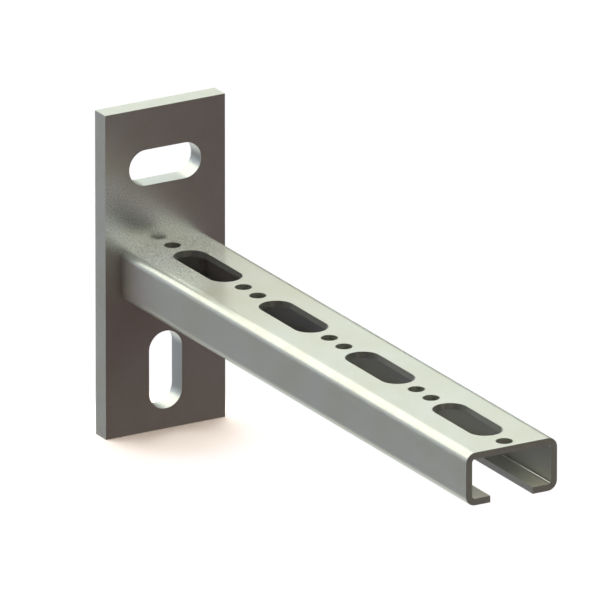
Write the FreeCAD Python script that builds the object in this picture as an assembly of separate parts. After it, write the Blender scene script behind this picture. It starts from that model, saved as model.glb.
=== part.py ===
import FreeCAD, Part

import math
import os

# Cantilever wall bracket: a slotted C-channel rail welded square onto a flat foot plate.
# All sizes are millimetres. The origin is the centre of the plate's back face, which lies on the wall.
# +X runs out of the wall along the rail, +Y across the plate and +Z up.

Vector = FreeCAD.Vector

# Foot plate: flat bar with a slot across it above the rail and a slot along it below the rail
PLATE_WIDTH = 40.0
PLATE_HEIGHT = 100.0
PLATE_THICKNESS = 6.0
PLATE_SLOT_LENGTH = 24.0
PLATE_SLOT_WIDTH = 11.0
PLATE_SLOT_FROM_END = 18.25

# Channel rail: strip folded to a C, with its web up and its mouth down
RAIL_LENGTH = 200.0
RAIL_WIDTH = 30.0
RAIL_HEIGHT = 16.0
RAIL_WALL = 2.0
RAIL_MOUTH = 14.0
RAIL_INNER_BEND = 1.0

# Punching of the web: one slot in each pitch, and two small holes in each land between two slots.
# The pattern starts and ends in the middle of a land, so the rail's ends keep one hole each.
WEB_SLOT_PITCH = 50.0
WEB_SLOT_LAND = 20.0
WEB_SLOT_WIDTH = 10.5
WEB_HOLE_DIAMETER = 5.0
WEB_HOLE_PAIR_SPACING = 8.4

# Fillet weld: one bead inside the rail, up one side, under the web and down the other side
WELD_LEG = 1.6
WELD_CROWN = 0.25

# Sizes and places that follow from those above
PLATE_FRONT = PLATE_THICKNESS
PLATE_SLOT_OFFSET = PLATE_HEIGHT / 2 - PLATE_SLOT_FROM_END
CAVITY_WIDTH = RAIL_WIDTH - 2 * RAIL_WALL
CAVITY_HEIGHT = RAIL_HEIGHT - 2 * RAIL_WALL
CAVITY_TOP = CAVITY_HEIGHT / 2
RAIL_OUTER_BEND = RAIL_INNER_BEND + RAIL_WALL
WEB_SLOT_LENGTH = WEB_SLOT_PITCH - WEB_SLOT_LAND

# Turns an outline drawn in XY to stand across the rail: its X lies along +Y and its Y along +Z
ACROSS_RAIL = FreeCAD.Rotation(Vector(0, 1, 0), Vector(0, 0, 1), Vector(1, 0, 0), "XYZ")


def rounded_outline(length, width, radius):
    """Closed outline centred in the XY plane. A radius of half the width makes it a slot with round ends."""
    x = length / 2 - radius
    y = width / 2 - radius
    quarter = math.pi / 2
    arcs = []
    for turn, centre in enumerate([Vector(x, y), Vector(-x, y), Vector(-x, -y), Vector(x, -y)]):
        circle = Part.Circle(centre, Vector(0, 0, 1), radius)
        arcs.append(Part.Arc(circle, turn * quarter, (turn + 1) * quarter))
    edges = []
    for arc, following in zip(arcs, arcs[1:] + arcs[:1]):
        edges.append(arc.toShape())
        if not arc.EndPoint.isEqual(following.StartPoint, Part.Precision.confusion()):
            edges.append(Part.LineSegment(arc.EndPoint, following.StartPoint).toShape())
    return Part.Wire(edges)


def stood_across(face, x, z):
    """The flat face, drawn in XY, stood across the rail at a distance from the wall and a height."""
    face.Placement = FreeCAD.Placement(Vector(x, 0, z), ACROSS_RAIL)
    return face


def base_plate():
    """Flat bar with its two mounting slots."""
    low_corner = Vector(0, -PLATE_WIDTH / 2, -PLATE_HEIGHT / 2)
    plate = Part.makeBox(PLATE_THICKNESS, PLATE_WIDTH, PLATE_HEIGHT, low_corner)
    slot_end = PLATE_SLOT_WIDTH / 2
    crosswise = rounded_outline(PLATE_SLOT_LENGTH, PLATE_SLOT_WIDTH, slot_end)
    lengthwise = rounded_outline(PLATE_SLOT_WIDTH, PLATE_SLOT_LENGTH, slot_end)
    for outline, height in ((crosswise, PLATE_SLOT_OFFSET), (lengthwise, -PLATE_SLOT_OFFSET)):
        face = stood_across(Part.Face(outline), -PLATE_THICKNESS, height)
        plate = plate.cut(face.extrude(Vector(3 * PLATE_THICKNESS, 0, 0)))
    return plate


def channel_section():
    """Section of the folded strip, drawn in XY: the web on top, two sides, and two lips beside the mouth."""
    outside = Part.Face(rounded_outline(RAIL_WIDTH, RAIL_HEIGHT, RAIL_OUTER_BEND))
    cavity = Part.Face(rounded_outline(CAVITY_WIDTH, CAVITY_HEIGHT, RAIL_INNER_BEND))
    mouth = Part.makePlane(RAIL_MOUTH, RAIL_HEIGHT, Vector(-RAIL_MOUTH / 2, -RAIL_HEIGHT))
    return outside.cut(cavity).cut(mouth).Faces[0]


def whole_pitches():
    """Slots that fit along the rail, rounded first so that a last pitch that just fits is counted."""
    return math.floor(round(RAIL_LENGTH / WEB_SLOT_PITCH, 6))


def web_slot_places():
    """Distance from the plate to the middle of each slot."""
    return [(pitch + 0.5) * WEB_SLOT_PITCH for pitch in range(whole_pitches())]


def web_hole_places():
    """Distance from the plate to each small hole, where the rail's end leaves half a wall of metal by it."""
    nearest = (WEB_HOLE_DIAMETER + RAIL_WALL) / 2
    lands = [pitch * WEB_SLOT_PITCH for pitch in range(whole_pitches() + 1)]
    places = [land + side * WEB_HOLE_PAIR_SPACING / 2 for land in lands for side in (-1, 1)]
    return [place for place in places if nearest <= place <= RAIL_LENGTH - nearest]


def web_punch(outline, distance):
    """Tool that goes through the web at a distance from the plate."""
    face = Part.Face(outline)
    face.translate(Vector(PLATE_FRONT + distance, 0, CAVITY_TOP - RAIL_WALL))
    return face.extrude(Vector(0, 0, 3 * RAIL_WALL))


def channel_rail():
    """C-channel that stands out from the plate, with its punched web."""
    rail = stood_across(channel_section(), PLATE_FRONT, 0).extrude(Vector(RAIL_LENGTH, 0, 0))
    slot = rounded_outline(WEB_SLOT_LENGTH, WEB_SLOT_WIDTH, WEB_SLOT_WIDTH / 2)
    hole = Part.Wire(Part.makeCircle(WEB_HOLE_DIAMETER / 2))
    punches = [web_punch(slot, distance) for distance in web_slot_places()]
    punches += [web_punch(hole, distance) for distance in web_hole_places()]
    return rail.cut(Part.makeCompound(punches))


def bead_profile(root):
    """Section of the bead at one foot of the path: a leg on the rail, a leg on the plate, a crowned face."""
    on_rail = root + Vector(WELD_LEG, 0, 0)
    on_plate = root + Vector(0, WELD_LEG, 0)
    crown = (on_rail + on_plate) / 2 + Vector(1, 1, 0).normalize() * WELD_CROWN
    legs = [Part.LineSegment(on_plate, root), Part.LineSegment(root, on_rail)]
    face = Part.Arc(on_rail, crown, on_plate)
    return Part.Wire([line.toShape() for line in legs + [face]])


def root_weld():
    """Bead swept round the rail's inside at the plate, and trimmed to the inside of the rail's bends."""
    side = CAVITY_WIDTH / 2
    corners = [(-side, -CAVITY_TOP), (-side, CAVITY_TOP), (side, CAVITY_TOP), (side, -CAVITY_TOP)]
    route = [Vector(PLATE_FRONT, y, z) for y, z in corners]
    mitred = 1
    sweep = Part.BRepOffsetAPI.MakePipeShell(Part.makePolygon(route))
    sweep.setTransitionMode(mitred)
    sweep.add(bead_profile(route[0]))
    sweep.build()
    sweep.makeSolid()
    cavity = Part.Face(rounded_outline(CAVITY_WIDTH, CAVITY_HEIGHT, RAIL_INNER_BEND))
    inside = stood_across(cavity, PLATE_FRONT, 0).extrude(Vector(2 * WELD_LEG, 0, 0))
    return sweep.shape().common(inside)


def main():
    os.makedirs("parts", exist_ok=True)
    pieces = {
        "base_plate": base_plate(),
        "channel_rail": channel_rail(),
        "root_weld": root_weld(),
    }
    for name, shape in pieces.items():
        Part.makeCompound(shape.Solids).exportStep(os.path.join("parts", name + ".step"))
        print(name, "solids:", len(shape.Solids), "valid:", shape.isValid(), "mm3:", round(shape.Volume, 2))


main()
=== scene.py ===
import math

import bmesh
import bpy
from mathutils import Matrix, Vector


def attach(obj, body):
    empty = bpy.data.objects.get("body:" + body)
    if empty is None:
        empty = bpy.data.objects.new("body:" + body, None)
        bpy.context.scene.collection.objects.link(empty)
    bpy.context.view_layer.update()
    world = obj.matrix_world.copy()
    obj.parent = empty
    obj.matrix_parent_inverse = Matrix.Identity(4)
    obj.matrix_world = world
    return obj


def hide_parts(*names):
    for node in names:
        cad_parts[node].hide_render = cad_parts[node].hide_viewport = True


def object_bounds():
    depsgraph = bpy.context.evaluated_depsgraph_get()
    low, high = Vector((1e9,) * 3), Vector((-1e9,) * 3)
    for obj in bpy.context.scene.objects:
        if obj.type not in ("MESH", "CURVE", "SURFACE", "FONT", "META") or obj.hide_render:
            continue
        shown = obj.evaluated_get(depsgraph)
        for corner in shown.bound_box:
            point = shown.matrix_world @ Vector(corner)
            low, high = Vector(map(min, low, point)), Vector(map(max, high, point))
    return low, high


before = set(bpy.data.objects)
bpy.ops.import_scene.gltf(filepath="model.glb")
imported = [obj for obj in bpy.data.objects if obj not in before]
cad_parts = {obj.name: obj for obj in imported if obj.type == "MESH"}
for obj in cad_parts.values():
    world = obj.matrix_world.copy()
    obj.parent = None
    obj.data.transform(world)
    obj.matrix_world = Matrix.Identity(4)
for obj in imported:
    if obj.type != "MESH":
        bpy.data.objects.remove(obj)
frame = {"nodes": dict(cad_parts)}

# Looks of a cantilever wall bracket: a slotted channel rail welded to a flat foot plate, all bright zinc.
# All sizes are metres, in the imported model's frame: +X out of the wall along the rail, +Y across, +Z up.

CAD_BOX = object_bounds()
MM = 0.001

# The bracket's main places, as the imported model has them. A side is half of a width.
FLOOR_HEIGHT = CAD_BOX[0].z
RAIL_END = CAD_BOX[1].x
PLATE_SIDE = CAD_BOX[1].y
PLATE_FRONT = 6.0 * MM
PLATE_SLOT_SIDE = 12.0 * MM
RAIL_SIDE = 15.0 * MM
RAIL_TOP = 8.0 * MM
CAVITY_SIDE = 13.0 * MM
CAVITY_TOP = 6.0 * MM
INNER_BEND = 1.0 * MM
MOUTH_SIDE = 7.0 * MM
WEB_SLOT_SIDE = 5.25 * MM
WEB_HOLE_RADIUS = 2.5 * MM

WHITE = (1.0, 1.0, 1.0)

# A face looks along an axis where its normal has more than this along the axis
FACING = 0.5


# Camera

CAMERA_LENS = 1600.0
CAMERA_SENSOR = 36.0
CAMERA_CLIP = (0.1, 40.0)
CAMERA_AZIMUTH = 60.1804
CAMERA_ELEVATION = 19.7282
CAMERA_DISTANCE = 7.71612
CAMERA_AIM = Vector((64.316, 11.7255, 5.8175)) * MM


def add_camera():
    """A very long lens from the photograph's angle, because the photograph is a parallel view."""
    azimuth = math.radians(CAMERA_AZIMUTH)
    elevation = math.radians(CAMERA_ELEVATION)
    back = Vector((
        math.sin(azimuth) * math.cos(elevation),
        -math.cos(azimuth) * math.cos(elevation),
        math.sin(elevation),
    ))
    data = bpy.data.cameras.new("camera")
    data.lens = CAMERA_LENS
    data.sensor_width = CAMERA_SENSOR
    data.clip_start, data.clip_end = CAMERA_CLIP
    camera = bpy.data.objects.new("camera", data)
    bpy.context.scene.collection.objects.link(camera)
    camera.location = CAMERA_AIM + back * CAMERA_DISTANCE
    camera.rotation_euler = (-back).to_track_quat("-Z", "Y").to_euler()
    bpy.context.scene.camera = camera


# Node helpers

class Nodes:
    """Short ways to add nodes to one tree and to link them. A mask is 1 in its place and 0 elsewhere."""

    def __init__(self, tree):
        self.tree = tree
        self.tree.nodes.clear()

    def add(self, kind, **settings):
        node = self.tree.nodes.new(kind)
        for name, value in settings.items():
            setattr(node, name, value)
        return node

    def feed(self, socket, value):
        """Links an output to the socket, or sets the socket to plain numbers, three for a colour."""
        if isinstance(value, bpy.types.NodeSocket):
            self.tree.links.new(value, socket)
        elif socket.type == "RGBA":
            socket.default_value = (*value, 1.0)
        else:
            socket.default_value = value

    def math(self, operation, *values):
        node = self.add("ShaderNodeMath", operation=operation)
        for socket, value in zip(node.inputs, values):
            self.feed(socket, value)
        return node.outputs[0]

    def vector(self, operation, *values, output=0):
        node = self.add("ShaderNodeVectorMath", operation=operation)
        for socket, value in zip(node.inputs, values):
            self.feed(socket, value)
        return node.outputs[output]

    def distance(self, first, second):
        return self.vector("DISTANCE", first, second, output=1)

    def parts(self, vector):
        """The vector's x, y and z."""
        node = self.add("ShaderNodeSeparateXYZ")
        self.feed(node.inputs[0], vector)
        return tuple(node.outputs)

    def place_and_facing(self):
        """The x, y and z of the shaded point, and those of the direction that its face looks in."""
        geometry = self.add("ShaderNodeNewGeometry")
        return self.parts(geometry.outputs["Position"]), self.parts(geometry.outputs["True Normal"])

    def above(self, value, limit):
        return self.math("GREATER_THAN", value, limit)

    def below(self, value, limit):
        return self.math("LESS_THAN", value, limit)

    def within(self, value, limit):
        """Mask of where the value lies nearer to 0 than the limit, on either side."""
        return self.below(self.math("ABSOLUTE", value), limit)

    def beyond(self, value, limit):
        """Mask of where the value lies further from 0 than the limit, on either side."""
        return self.above(self.math("ABSOLUTE", value), limit)

    def all_of(self, *masks):
        """Mask of where all the masks hold. Masks that fade are multiplied."""
        product = masks[0]
        for mask in masks[1:]:
            product = self.math("MULTIPLY", product, mask)
        return product

    def range(self, value, low, high, to_low=0.0, to_high=1.0):
        """Smooth step of the value from one range to another."""
        node = self.add("ShaderNodeMapRange", interpolation_type="SMOOTHSTEP")
        for name, number in (
            ("Value", value),
            ("From Min", low),
            ("From Max", high),
            ("To Min", to_low),
            ("To Max", to_high),
        ):
            self.feed(node.inputs[name], number)
        return node.outputs[0]

    def fade(self, value, start, end):
        """1 up to the start, 0 from the end on, and a smooth step between them."""
        return self.range(value, start, end, 1.0, 0.0)

    def mix(self, share, first, second):
        """Colour between two colours."""
        node = self.add("ShaderNodeMix", data_type="RGBA")
        self.feed(node.inputs["Factor"], share)
        self.feed(node.inputs[6], first)
        self.feed(node.inputs[7], second)
        return node.outputs[2]

    def scaled(self, colour, amount):
        """The colour made lighter or darker by a factor."""
        node = self.add("ShaderNodeVectorMath", operation="SCALE")
        self.feed(node.inputs[0], colour)
        self.feed(node.inputs["Scale"], amount)
        return node.outputs[0]

    def tinted(self, colour, mask, tint):
        """The colour times the tint where the mask is 1."""
        return self.vector("MULTIPLY", colour, self.mix(mask, WHITE, tint))

    def noise(self, place, size, detail):
        """Noise from 0 to 1 whose blotches are about the given size, in metres."""
        node = self.add("ShaderNodeTexNoise")
        self.feed(node.inputs["Vector"], place)
        self.feed(node.inputs["Scale"], 1.0 / size)
        self.feed(node.inputs["Detail"], detail)
        return node.outputs["Fac"]

    def bump(self, height, distance):
        node = self.add("ShaderNodeBump")
        self.feed(node.inputs["Distance"], distance)
        self.feed(node.inputs["Height"], height)
        return node.outputs[0]

    def finish(self, surface, kind="ShaderNodeOutputMaterial"):
        output = self.add(kind)
        self.tree.links.new(surface, output.inputs["Surface"])


def new_material(name):
    material = bpy.data.materials.new(name)
    material.use_nodes = True
    return material, Nodes(material.node_tree)


def new_piece(name, mesh, material):
    """The bmesh as an object of the scene. The bmesh itself is freed."""
    data = bpy.data.meshes.new(name)
    mesh.to_mesh(data)
    mesh.free()
    data.materials.append(material)
    piece = bpy.data.objects.new(name, data)
    bpy.context.scene.collection.objects.link(piece)
    return piece


# Zinc

# Bright zinc as the photograph shows it: pale with a faint green cast, in warmer and cooler blotches
ZINC = (0.688, 0.736, 0.643)
WARM_TINT = (1.01, 1.0, 0.975)
COOL_TINT = (0.99, 1.0, 1.025)
ZINC_MOTTLE = 0.03
BLOTCH_SIZE = 14 * MM
FLECK_SIZE = 1.1 * MM
FLECK_SHARE = 0.35
MOTTLE_RANGE = (0.45, 0.9)

# Haze that is finer than a pixel of the photograph, and the slightest of bumps
PLATE_ROUGHNESS = 0.28
RAIL_ROUGHNESS = 0.22
PLATE_HAZE = (0.54, 0.68)
RAIL_HAZE = (0.475, 0.605)
HAZE_ROUGHNESS = 0.72
HAZE_SIZE = 0.125 * MM
BUMP_SIZE = 0.40 * MM
BUMP_HEIGHT = 0.010 * MM

# Frosted grain at the root. It fades away from its centre, at a line that leans over the plate's front, and
# at a line that slants across the rail's top. Its depth is its contrast, its rise the heights between which
# it starts, and its clearing the share of the haze that goes from under it.
PLATE_FROST = {"depth": 1.0, "rise": (1.0 * MM, 10.0 * MM), "clearing": 0.4}
RAIL_FROST = {"depth": 1.35, "rise": (7.5 * MM, 8.0 * MM), "clearing": 0.0}
FROST_LIGHTER = 0.03
FROST_ROUGHNESS = 0.28
FROST_ROUGHNESS_FROM = (0.05, 0.3)
GRAIN_SIZE = 0.46 * MM
GRAIN_CENTRE = (7.0 * MM, -6.0 * MM, 9.0 * MM)
GRAIN_SQUEEZE = (0.72, 1.0, 1.0)
GRAIN_REACH = (20 * MM, 36 * MM)
GRAIN_FRONT = PLATE_FRONT - 0.05 * MM
GRAIN_UP_PLATE = (8 * MM, 20 * MM)
GRAIN_ALONG_RAIL = (26 * MM, 40 * MM)
PLATE_LEAN = 1.37
RAIL_SLANT = 1.2


def up_the_plate(nodes, y, z):
    """Distance across the plate, counted from a line that leans over its front."""
    higher = nodes.math("MULTIPLY", nodes.math("SUBTRACT", z, RAIL_TOP), PLATE_LEAN)
    return nodes.math("ADD", y, higher)


def along_the_rail(nodes, x, y):
    """Distance along the rail, counted from a line that slants across its top."""
    return nodes.math("ADD", x, nodes.math("MULTIPLY", y, RAIL_SLANT))


def frosted_part(nodes, place, rise):
    """Mask of where the weld's heat frosted the zinc: the upper side of the root."""
    x, y, z = nodes.parts(place)
    squeezed = nodes.vector("MULTIPLY", nodes.vector("SUBTRACT", place, GRAIN_CENTRE), GRAIN_SQUEEZE)
    return nodes.all_of(
        nodes.fade(nodes.vector("LENGTH", squeezed, output=1), *GRAIN_REACH),
        nodes.range(z, *rise),
        nodes.above(x, GRAIN_FRONT),
        nodes.fade(up_the_plate(nodes, y, z), *GRAIN_UP_PLATE),
        nodes.fade(along_the_rail(nodes, x, y), *GRAIN_ALONG_RAIL),
    )


def grain(nodes, place, frosted, depth):
    """Fine light and dark grain of the frosted zinc, as a factor for its colour."""
    speckle = nodes.math("SUBTRACT", nodes.noise(place, GRAIN_SIZE, detail=1.0), 0.5)
    change = nodes.math("ADD", nodes.math("MULTIPLY", speckle, depth), FROST_LIGHTER)
    return nodes.math("ADD", nodes.math("MULTIPLY", change, frosted), 1.0)


def with_frost(nodes, place, base, rough, polish, depth, rise, clearing):
    """Adds the grain to the colour, clears part of the haze under it, and keeps a least roughness there."""
    frosted = frosted_part(nodes, place, rise)
    base = nodes.scaled(base, grain(nodes, place, frosted, depth))
    haze = nodes.math("SUBTRACT", rough, polish)
    rough = nodes.math("SUBTRACT", rough, nodes.all_of(haze, clearing, frosted))
    lacking = nodes.math("MAXIMUM", nodes.math("SUBTRACT", FROST_ROUGHNESS, rough), 0.0)
    added = nodes.math("MULTIPLY", lacking, nodes.range(frosted, *FROST_ROUGHNESS_FROM))
    return base, nodes.math("ADD", rough, added)


def mottled(nodes, place, colour, mottle):
    """The colour in soft blotches and small flecks, from darker and warmer to lighter and cooler."""
    dark = tuple(part * (1 - mottle) * tint for part, tint in zip(colour, WARM_TINT))
    light = tuple(part * (1 + mottle) * tint for part, tint in zip(colour, COOL_TINT))
    blotches = nodes.noise(place, BLOTCH_SIZE, detail=3.0)
    flecks = nodes.math("MULTIPLY", nodes.noise(place, FLECK_SIZE, detail=2.0), FLECK_SHARE)
    return nodes.mix(nodes.range(nodes.math("ADD", blotches, flecks), *MOTTLE_RANGE), dark, light)


def hazed(nodes, place, polish, haze_range):
    """Roughness of polished zinc with a fine haze over it."""
    haze = nodes.range(nodes.noise(place, HAZE_SIZE, detail=0.0), *haze_range)
    return nodes.math("ADD", polish, nodes.math("MULTIPLY", haze, HAZE_ROUGHNESS - polish))


def zinc_material(name, colour, polish, haze_range, mottle=ZINC_MOTTLE, frost=None, tones=None):
    """Zinc with soft blotches, a hazy gloss and the slightest of bumps."""
    material, nodes = new_material(name)
    place = nodes.add("ShaderNodeTexCoord").outputs["Object"]
    base = mottled(nodes, place, colour, mottle)
    rough = hazed(nodes, place, polish, haze_range)
    if frost:
        base, rough = with_frost(nodes, place, base, rough, polish, **frost)
    if tones:
        base, rough = tones(nodes, base, rough)
    shader = nodes.add("ShaderNodeBsdfPrincipled")
    nodes.feed(shader.inputs["Base Color"], base)
    nodes.feed(shader.inputs["Roughness"], rough)
    nodes.feed(shader.inputs["Metallic"], 1.0)
    fine = nodes.noise(place, BUMP_SIZE, detail=1.0)
    nodes.feed(shader.inputs["Normal"], nodes.bump(fine, BUMP_HEIGHT))
    nodes.finish(shader.outputs[0])
    return material


# Plate

# Painted light and shade on the plate: shade on its slot walls and above the rail, light low on its front and
# on its sides
SLOT_PAINTED_SHADE = (0.95, 0.98, 1.03)
FOOT_PAINTED_LIGHT = (1.045, 1.06, 1.01)
ABOVE_RAIL_PAINTED_SHADE = (0.96, 0.96, 1.04)
SIDE_PAINTED_LIGHT = (1.05, 1.05, 1.045)
SLOTS_ACROSS = PLATE_SLOT_SIDE + 0.1 * MM
SLOTS_UP = 45 * MM
SIDE_FROM = PLATE_SIDE - 0.05 * MM
LOW_ON_FRONT = (-42 * MM, -20 * MM)
ABOVE_RAIL_LEAN = (8 * MM, 22 * MM)
ABOVE_RAIL_RISE = (11 * MM, 18 * MM)


def plate_painted_light_and_shade(nodes, base, rough):
    """The plate: cool painted shade in its slots and above the rail, warm painted light low on its front,
    painted light on its sides.
    """
    place, facing = nodes.place_and_facing()
    y, z = place[1:]
    edge = nodes.within(facing[0], FACING)
    front = nodes.above(facing[0], FACING)
    punched = nodes.all_of(edge, nodes.within(y, SLOTS_ACROSS), nodes.within(z, SLOTS_UP))
    low = nodes.all_of(nodes.fade(z, *LOW_ON_FRONT), front)
    lean = nodes.fade(up_the_plate(nodes, y, z), *ABOVE_RAIL_LEAN)
    above_rail = nodes.all_of(lean, nodes.range(z, *ABOVE_RAIL_RISE), front)
    side = nodes.all_of(nodes.beyond(y, SIDE_FROM), edge)
    for mask, tint in (
        (punched, SLOT_PAINTED_SHADE),
        (low, FOOT_PAINTED_LIGHT),
        (above_rail, ABOVE_RAIL_PAINTED_SHADE),
        (side, SIDE_PAINTED_LIGHT),
    ):
        base = nodes.tinted(base, mask, tint)
    return base, rough


# Rail

# Painted shade inside the rail and on the two lips beside its mouth, with painted light towards the open end
# and near the plate
DEEP_PAINTED_SHADE = (0.33, 0.33, 0.325)
INSIDE_PAINTED_SHADE = (0.485, 0.50, 0.455)
OPEN_END_PAINTED_SHADE = (0.51, 0.535, 0.475)
FOLD_PAINTED_SHADE = (0.50, 0.52, 0.46)
LIP_PAINTED_SHADE = (0.56, 0.58, 0.53)
LIP_END_PAINTED_LIGHT = (0.90, 0.91, 0.78)
INSIDE_SIDE = CAVITY_SIDE + 0.02 * MM
INSIDE_TOP = CAVITY_TOP + 0.02 * MM
MOUTH_EDGE_SIDE = MOUTH_SIDE + 0.05 * MM
MOUTH_EDGE_TOP = 0.1 * MM - CAVITY_TOP
FOLD_SIDE = CAVITY_SIDE - 0.5 * MM
FOLD_TOP = 0.5 * MM - CAVITY_TOP
LEVEL = 0.9
OUTWARDS = (20 * MM, 190 * MM)
AT_OPEN_END = (RAIL_END - 18 * MM, RAIL_END)
PAST_ROOT = (12 * MM, 34 * MM)
ROOT_PAINTED_LIGHT = 1.75
LIP_ACROSS = (-9 * MM, 0.0)
NEAR_LIP_PAINTED_SHADE = 0.74
DULL_ROUGHER = 0.08
FOLD_SMOOTHER = 0.6

# Walls of the web's slots and holes
PUNCHED_ZINC = (0.60, 0.62, 0.57)
HOLE_ZINC = (0.54, 0.595, 0.49)
WEB_FROM = CAVITY_TOP + 0.03 * MM
PUNCHED_SIDE = WEB_SLOT_SIDE + 0.35 * MM
HOLE_SIDE = WEB_HOLE_RADIUS + 0.1 * MM
PUNCHED_OUTWARDS = (60 * MM, 140 * MM)
PUNCHED_FACTORS = (0.91, 1.07)

# Outside of the rail, with painted shade on its sides at the root and on its top past the grain, and its sawn
# end
ROOT_SIDE_PAINTED_SHADE = (0.90, 0.83, 0.84)
WEB_TOP_PAINTED_SHADE = (0.94, 0.905, 0.87)
SAWN_ZINC = (0.665, 0.765, 0.635)
OUTSIDE_SIDE = RAIL_SIDE - 0.1 * MM
OUTSIDE_TOP = RAIL_TOP - 0.1 * MM
SAWN_FROM = RAIL_END - 0.1 * MM
ROOT_SIDE_SHADE_ALONG = (14 * MM, 30 * MM)
WEB_TOP_SHADE_ALONG = (46 * MM, 100 * MM)


def inside_painted_shade(nodes, x):
    """Painted shade inside the rail, with painted light towards the open end and close to the plate."""
    outwards = nodes.mix(nodes.range(x, *OUTWARDS), DEEP_PAINTED_SHADE, INSIDE_PAINTED_SHADE)
    with_end = nodes.mix(nodes.range(x, *AT_OPEN_END), outwards, OPEN_END_PAINTED_SHADE)
    return nodes.scaled(with_end, nodes.range(x, *PAST_ROOT, ROOT_PAINTED_LIGHT, 1.0))


def lip_painted_light_and_shade(nodes, x, y):
    """Zinc on top of the lips in painted shade, with painted light at the open end and deeper painted shade
    on the near lip.
    """
    along = nodes.mix(nodes.range(x, *AT_OPEN_END), LIP_PAINTED_SHADE, LIP_END_PAINTED_LIGHT)
    return nodes.scaled(along, nodes.range(y, *LIP_ACROSS, NEAR_LIP_PAINTED_SHADE, 1.0))


def punched_zinc(nodes, x, y):
    """Zinc on the walls of the slots, which get lighter outwards, and on those of the round holes."""
    slot_wall = nodes.scaled(PUNCHED_ZINC, nodes.range(x, *PUNCHED_OUTWARDS, *PUNCHED_FACTORS))
    return nodes.mix(nodes.within(y, HOLE_SIDE), slot_wall, HOLE_ZINC)


def with_painted_root_shade(nodes, base, x, y, z):
    """Painted shade on the rail's sides at the root, and a warm painted shade on its top past the grain."""
    beside = nodes.all_of(nodes.beyond(y, OUTSIDE_SIDE), nodes.fade(x, *ROOT_SIDE_SHADE_ALONG))
    past_grain = nodes.range(along_the_rail(nodes, x, y), *GRAIN_ALONG_RAIL)
    on_top = nodes.all_of(past_grain, nodes.fade(x, *WEB_TOP_SHADE_ALONG), nodes.above(z, OUTSIDE_TOP))
    return nodes.tinted(nodes.tinted(base, beside, ROOT_SIDE_PAINTED_SHADE), on_top, WEB_TOP_PAINTED_SHADE)


def rail_tones_and_painted_shade(nodes, base, rough):
    """The rail, with painted shade and light inside and at its root, and tones of their own in its slots and
    holes and on its end.
    """
    (x, y, z), facing = nodes.place_and_facing()
    up = facing[2]
    sawn = nodes.above(x, SAWN_FROM)
    before_end = nodes.math("SUBTRACT", 1.0, sawn)
    inside = nodes.all_of(nodes.within(y, INSIDE_SIDE), nodes.within(z, INSIDE_TOP))
    mouth_edge = nodes.all_of(nodes.within(y, MOUTH_EDGE_SIDE), nodes.below(z, MOUTH_EDGE_TOP))
    # Where the inside and the mouth's edges take painted shade
    painted_shade_inside = nodes.all_of(nodes.math("MAXIMUM", inside, mouth_edge), before_end)
    on_lip = nodes.all_of(inside, nodes.above(up, LEVEL), before_end)
    folded = nodes.all_of(inside, nodes.beyond(y, FOLD_SIDE), nodes.below(z, FOLD_TOP), before_end)
    in_web = nodes.all_of(nodes.above(z, WEB_FROM), nodes.within(y, PUNCHED_SIDE))
    punched = nodes.all_of(nodes.within(up, FACING), in_web)
    for mask, tone in (
        (painted_shade_inside, inside_painted_shade(nodes, x)),
        (on_lip, lip_painted_light_and_shade(nodes, x, y)),
        (folded, FOLD_PAINTED_SHADE),
        (punched, punched_zinc(nodes, x, y)),
    ):
        base = nodes.mix(mask, base, tone)
    base = nodes.mix(sawn, with_painted_root_shade(nodes, base, x, y, z), SAWN_ZINC)
    rougher = nodes.math("MULTIPLY", nodes.math("SUBTRACT", painted_shade_inside, folded), DULL_ROUGHER)
    smoother = nodes.math("SUBTRACT", 1.0, nodes.math("MULTIPLY", folded, FOLD_SMOOTHER))
    return base, nodes.math("MULTIPLY", nodes.math("ADD", rough, rougher), smoother)


def dress_frame():
    """Gives the plate and the rail their zinc."""
    plate = zinc_material(
        "zinc_on_plate",
        ZINC,
        PLATE_ROUGHNESS,
        PLATE_HAZE,
        frost=PLATE_FROST,
        tones=plate_painted_light_and_shade,
    )
    rail = zinc_material(
        "zinc_on_rail",
        ZINC,
        RAIL_ROUGHNESS,
        RAIL_HAZE,
        frost=RAIL_FROST,
        tones=rail_tones_and_painted_shade,
    )
    nodes = frame["nodes"]
    nodes["base_plate"].material_slots[0].material = plate
    nodes["channel_rail"].material_slots[0].material = rail


# Weld

WELD_ZINC = (0.32, 0.325, 0.305)
WELD_ROUGHNESS = 0.45
WELD_MOTTLE = 0.12
WELD_LEG = 1.55 * MM
WELD_LEG_LIMIT = 1.58 * MM
WELD_BULGE = 0.22 * MM
WELD_SINK = 0.04 * MM
ROUTE_STEP = 0.12 * MM
BEND_STEPS = 13
FACE_STEPS = 14
RIPPLE_PITCH = 1.3 * MM
RIPPLE_DEPTH = 0.13 * MM
RIPPLE_BOW = 0.75
RIPPLE_AT_EDGE = 0.35

# Slow waves keep the bead from looking even. One has a share of the leg and a length. The other two shift the
# ripples, and each has a share of a ripple, a length and a start.
WELD_LEG_WAVE = (0.03, 3.7 * MM)
RIPPLE_WANDER = ((0.35, 7.3 * MM, 0.0), (0.2, 2.9 * MM, 1.0))


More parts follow.
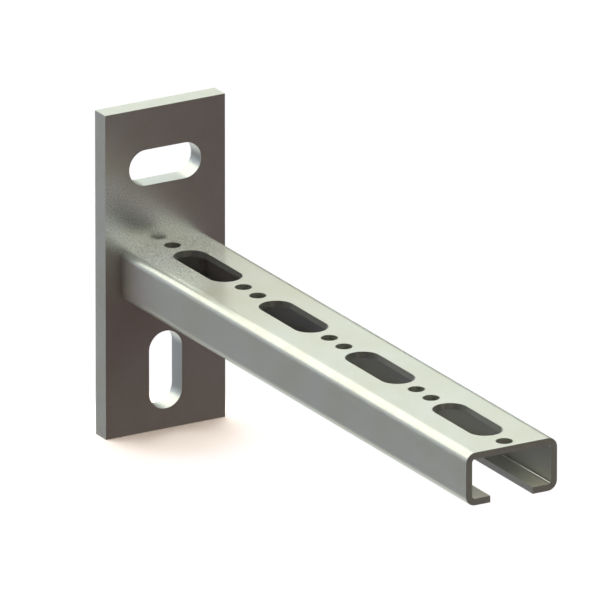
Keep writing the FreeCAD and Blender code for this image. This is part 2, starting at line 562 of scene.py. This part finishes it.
def weld_route():
    """Points of the bead's root, up one side of the cavity, under the web and down the other side.

    Each comes with the point that faces it on the bead's inner edge."""
    side = CAVITY_SIDE + WELD_SINK
    top = CAVITY_TOP + WELD_SINK
    foot = INNER_BEND - CAVITY_TOP
    inner_side = CAVITY_SIDE - WELD_LEG
    inner_top = CAVITY_TOP - WELD_LEG
    near_side = []
    for k in range(int((top - INNER_BEND - foot) / ROUTE_STEP)):
        z = foot + k * ROUTE_STEP
        near_side.append(((-side, z), (-inner_side, min(z, inner_top))))
    for k in range(BEND_STEPS + 1):
        turn = math.pi - k / BEND_STEPS * math.pi / 2
        y = -side + INNER_BEND + INNER_BEND * math.cos(turn)
        z = top - INNER_BEND + INNER_BEND * math.sin(turn)
        near_side.append(((y, z), (-inner_side, inner_top)))
    width = 2 * (side - INNER_BEND)
    count = int(width / ROUTE_STEP)
    under_web = []
    for k in range(1, count):
        y = -side + INNER_BEND + k * width / count
        under_web.append(((y, top), (max(-inner_side, min(inner_side, y)), inner_top)))
    far_side = [((-y, z), (-inner_y, inner_z)) for (y, z), (inner_y, inner_z) in reversed(near_side)]
    return near_side + under_web + far_side


def weld_ring(mesh, travelled, outer, inner):
    """The bead's section at a distance along it: its rippled face, and its root."""
    wander = sum(share * math.sin(travelled / length + start) for share, length, start in RIPPLE_WANDER)
    wave_share, wave_length = WELD_LEG_WAVE
    leg = min(WELD_LEG * (1 + wave_share * math.sin(travelled / wave_length)), WELD_LEG_LIMIT)
    ring = []
    for k in range(FACE_STEPS + 1):
        share = k / FACE_STEPS
        middle = 1 - (2 * share - 1) ** 2
        phase = travelled / RIPPLE_PITCH + wander - RIPPLE_BOW * middle
        wave = 0.5 + 0.5 * math.cos(2 * math.pi * phase)
        deep = RIPPLE_DEPTH * (1 - wave) ** 2 * (RIPPLE_AT_EDGE + (1 - RIPPLE_AT_EDGE) * middle)
        swell = (WELD_BULGE * middle - deep) * math.sqrt(0.5)
        x = PLATE_FRONT - WELD_SINK + (leg + WELD_SINK) * share + swell
        inward = ((1 - share) * leg + swell) / WELD_LEG
        y = outer[0] + (inner[0] - outer[0]) * inward
        z = outer[1] + (inner[1] - outer[1]) * inward
        ring.append(mesh.verts.new((x, y, z)))
    ring.append(mesh.verts.new((PLATE_FRONT - WELD_SINK, outer[0], outer[1])))
    return ring


def weld_piece():
    """The root's fillet weld, with the crescent ripples that a weld pool leaves."""
    mesh = bmesh.new()
    rings = []
    travelled = 0.0
    route = weld_route()
    last = route[0][0]
    for outer, inner in route:
        travelled += math.dist(outer, last)
        last = outer
        rings.append(weld_ring(mesh, travelled, outer, inner))
    for ring, following in zip(rings, rings[1:]):
        for k in range(len(ring)):
            n = (k + 1) % len(ring)
            face = mesh.faces.new((ring[k], ring[n], following[n], following[k]))
            face.smooth = k < FACE_STEPS
    mesh.faces.new(rings[0])
    mesh.faces.new(list(reversed(rings[-1])))
    bmesh.ops.recalc_face_normals(mesh, faces=mesh.faces)
    zinc = zinc_material("zinc_on_weld", WELD_ZINC, WELD_ROUGHNESS, PLATE_HAZE, mottle=WELD_MOTTLE)
    weld = new_piece("weld_bead", mesh, zinc)
    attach(weld, "root")
    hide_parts("root_weld")


# Stage

# Light of the world from behind the bracket and from in front of it
BACK_LIGHT = (1.26, 1.27, 1.28)
FRONT_LIGHT = (0.285, 0.24, 0.205)
LIGHT_TURN = (-0.4, 0.4)

# The floor's paint as light meets it and as it shows. What shows is over 1, so that the lit floor is white.
FLOOR_PAINT = (0.8, 0.8, 0.8)
FLOOR_WHITE = (1.77, 1.60, 1.475)
FLOOR_GLOW = 1.02
FLOOR_RADIUS = 8.0
WHITE_FROM_FOOT = (17 * MM, 36 * MM)


def white_for_sight(nodes):
    """1 for rays from the camera, from metal and through glass, 0 for rays that carry light."""
    path = nodes.add("ShaderNodeLightPath")
    seen = nodes.math("MAXIMUM", path.outputs["Is Camera Ray"], path.outputs["Is Glossy Ray"])
    return nodes.math("MAXIMUM", seen, path.outputs["Is Transmission Ray"])


def add_world():
    """White to look at. As light it is soft and mostly from behind, so the foot's shadow falls in front."""
    world = bpy.data.worlds.new("studio")
    bpy.context.scene.world = world
    world.use_nodes = True
    nodes = Nodes(world.node_tree)
    out = nodes.parts(nodes.add("ShaderNodeTexCoord").outputs["Generated"])[0]
    light = nodes.mix(nodes.range(out, *LIGHT_TURN), BACK_LIGHT, FRONT_LIGHT)
    background = nodes.add("ShaderNodeBackground")
    nodes.feed(background.inputs["Color"], nodes.mix(white_for_sight(nodes), light, WHITE))
    nodes.finish(background.outputs[0], "ShaderNodeOutputWorld")


def hide_from(thing, *rays):
    for ray in rays:
        setattr(thing, "visible_" + ray, False)


def shader_mix(nodes, share, first, second):
    """Shader between two shader nodes."""
    node = nodes.add("ShaderNodeMixShader")
    for socket, value in zip(node.inputs, (share, first.outputs[0], second.outputs[0])):
        nodes.feed(socket, value)
    return node


def floor_material():
    """Plain white away from the foot. Near it the paint takes the bracket's shadow. Clear from below."""
    material, nodes = new_material("floor_paint")
    paint = nodes.add("ShaderNodeBsdfDiffuse")
    nodes.feed(paint.inputs["Color"], nodes.mix(white_for_sight(nodes), FLOOR_PAINT, FLOOR_WHITE))
    glow = nodes.add("ShaderNodeEmission")
    nodes.feed(glow.inputs["Color"], WHITE)
    nodes.feed(glow.inputs["Strength"], FLOOR_GLOW)
    place = nodes.add("ShaderNodeTexCoord").outputs["Object"]
    away = nodes.range(nodes.distance(place, (PLATE_FRONT, 0.0, 0.0)), *WHITE_FROM_FOOT)
    lit = shader_mix(nodes, nodes.all_of(away, white_for_sight(nodes)), paint, glow)
    from_below = nodes.add("ShaderNodeNewGeometry").outputs["Backfacing"]
    nodes.finish(shader_mix(nodes, from_below, lit, nodes.add("ShaderNodeBsdfTransparent")).outputs[0])
    return material


def add_floor():
    """Level disc under the plate's foot."""
    mesh = bmesh.new()
    bmesh.ops.create_circle(mesh, cap_ends=True, segments=64, radius=FLOOR_RADIUS)
    floor = new_piece("floor", mesh, floor_material())
    floor.location = (0.0, 0.0, FLOOR_HEIGHT)
    hide_from(floor, "glossy")


# Dome

# Directions on the dome run from -1 to 1. The half behind turns into the half in front between these along X.
DOME_RADIUS = 12.0
FRONT_TURN = (-0.3, 0.3)

# Behind the bracket: bright from a start that lies lower on the far side, and three fields under it
BRIGHT_FIELD = (1.135, 1.135, 1.105)
BRIGHT_START_ACROSS = (-0.4, 0.2)
BRIGHT_STARTS = (0.20, 0.08)
BRIGHT_RISE = (0.0, 0.24)
UNDER_FAR_FIELD = (0.30, 0.29, 0.29)
UNDER_FAR_ACROSS = (0.15, 0.45)
UNDER_LOW_FIELD = (0.86, 0.84, 0.84)
UNDER_HIGH_FIELD = (0.74, 0.76, 0.88)
UNDER_RISE = (-0.35, 0.0)

# Two patches over those fields, each with its direction and its reach
GREY_FIELD = (0.142, 0.128, 0.174)
GREY_PATCH = ((-0.82, -0.50, -0.28), 0.62)
DARK_FIELD = (0.04, 0.04, 0.04)
DARK_PATCH = ((-0.79, 0.61, -0.04), 0.50)

# In front of the bracket: dark brown low down. Above it, dark grey on the near side and bright on the far.
FRONT_LOW_FIELD = (0.117, 0.082, 0.087)
FRONT_NEAR_FIELD = (0.22, 0.20, 0.21)
FRONT_FAR_FIELD = (1.02, 0.92, 0.99)
FRONT_ACROSS = (-0.2, 0.4)
FRONT_RISE = (0.10, 0.34)

# A round bright field with a crisp edge, high up behind
KEY_FIELD = (1.85, 1.76, 1.68)
KEY_DIRECTION = (-0.78, -0.17, 0.60)
KEY_EDGE = (0.487, 0.501)


def near_to(nodes, direction, centre, reach):
    """1 in the centre's direction, fading to 0 at the reach from it."""
    return nodes.fade(nodes.distance(direction, centre), 0.0, reach)


def light_behind(nodes, direction):
    """Light of the dome's half behind the bracket."""
    y, z = nodes.parts(direction)[1:]
    under_near = nodes.mix(nodes.range(z, *UNDER_RISE), UNDER_LOW_FIELD, UNDER_HIGH_FIELD)
    under = nodes.mix(nodes.range(y, *UNDER_FAR_ACROSS), under_near, UNDER_FAR_FIELD)
    low = nodes.mix(near_to(nodes, direction, *GREY_PATCH), under, GREY_FIELD)
    start = nodes.range(y, *BRIGHT_START_ACROSS, *BRIGHT_STARTS)
    rise = nodes.range(nodes.math("SUBTRACT", z, start), *BRIGHT_RISE)
    return nodes.mix(near_to(nodes, direction, *DARK_PATCH), nodes.mix(rise, low, BRIGHT_FIELD), DARK_FIELD)


def light_in_front(nodes, direction):
    """Light of the dome's half in front of the bracket."""
    y, z = nodes.parts(direction)[1:]
    high = nodes.mix(nodes.range(y, *FRONT_ACROSS), FRONT_NEAR_FIELD, FRONT_FAR_FIELD)
    return nodes.mix(nodes.range(z, *FRONT_RISE), FRONT_LOW_FIELD, high)


def dome_material():
    material, nodes = new_material("dome_cloth")
    direction = nodes.vector("NORMALIZE", nodes.add("ShaderNodeTexCoord").outputs["Object"])
    front = nodes.range(nodes.parts(direction)[0], *FRONT_TURN)
    fields = nodes.mix(front, light_behind(nodes, direction), light_in_front(nodes, direction))
    key = nodes.fade(nodes.distance(direction, KEY_DIRECTION), *KEY_EDGE)
    glow = nodes.add("ShaderNodeEmission")
    nodes.feed(glow.inputs["Color"], nodes.mix(key, fields, KEY_FIELD))
    nodes.finish(glow.outputs[0])
    return material


def add_dome():
    """Studio dome that only the metal mirrors, with bright, grey and dark fields."""
    mesh = bmesh.new()
    bmesh.ops.create_uvsphere(mesh, u_segments=64, v_segments=32, radius=DOME_RADIUS)
    bmesh.ops.reverse_faces(mesh, faces=mesh.faces)
    dome = new_piece("dome", mesh, dome_material())
    hide_from(dome, "camera", "diffuse", "transmission", "volume_scatter", "shadow")


# Lamp

LAMP_PLACE = Vector((-0.9, 0.0, 1.9))
LAMP_AIM = Vector((0.0, 0.0, FLOOR_HEIGHT))
LAMP_SIZE = 2.4
LAMP_WATTS = 15.0
LAMP_COLOUR = (0.96, 0.99, 1.0)


def add_lamp():
    """One large soft lamp, high up behind the plate. The metal mirrors the dome, and not this lamp."""
    data = bpy.data.lights.new("back_high", "AREA")
    data.shape = "DISK"
    data.size = LAMP_SIZE
    data.energy = LAMP_WATTS
    data.color = LAMP_COLOUR
    lamp = bpy.data.objects.new("back_high", data)
    bpy.context.scene.collection.objects.link(lamp)
    lamp.location = LAMP_PLACE
    lamp.rotation_euler = (LAMP_AIM - LAMP_PLACE).to_track_quat("-Z", "Y").to_euler()
    hide_from(lamp, "glossy")


def main():
    bpy.context.scene.view_settings.view_transform = "Standard"
    add_camera()
    add_world()
    add_floor()
    add_dome()
    add_lamp()
    dress_frame()
    weld_piece()


main()
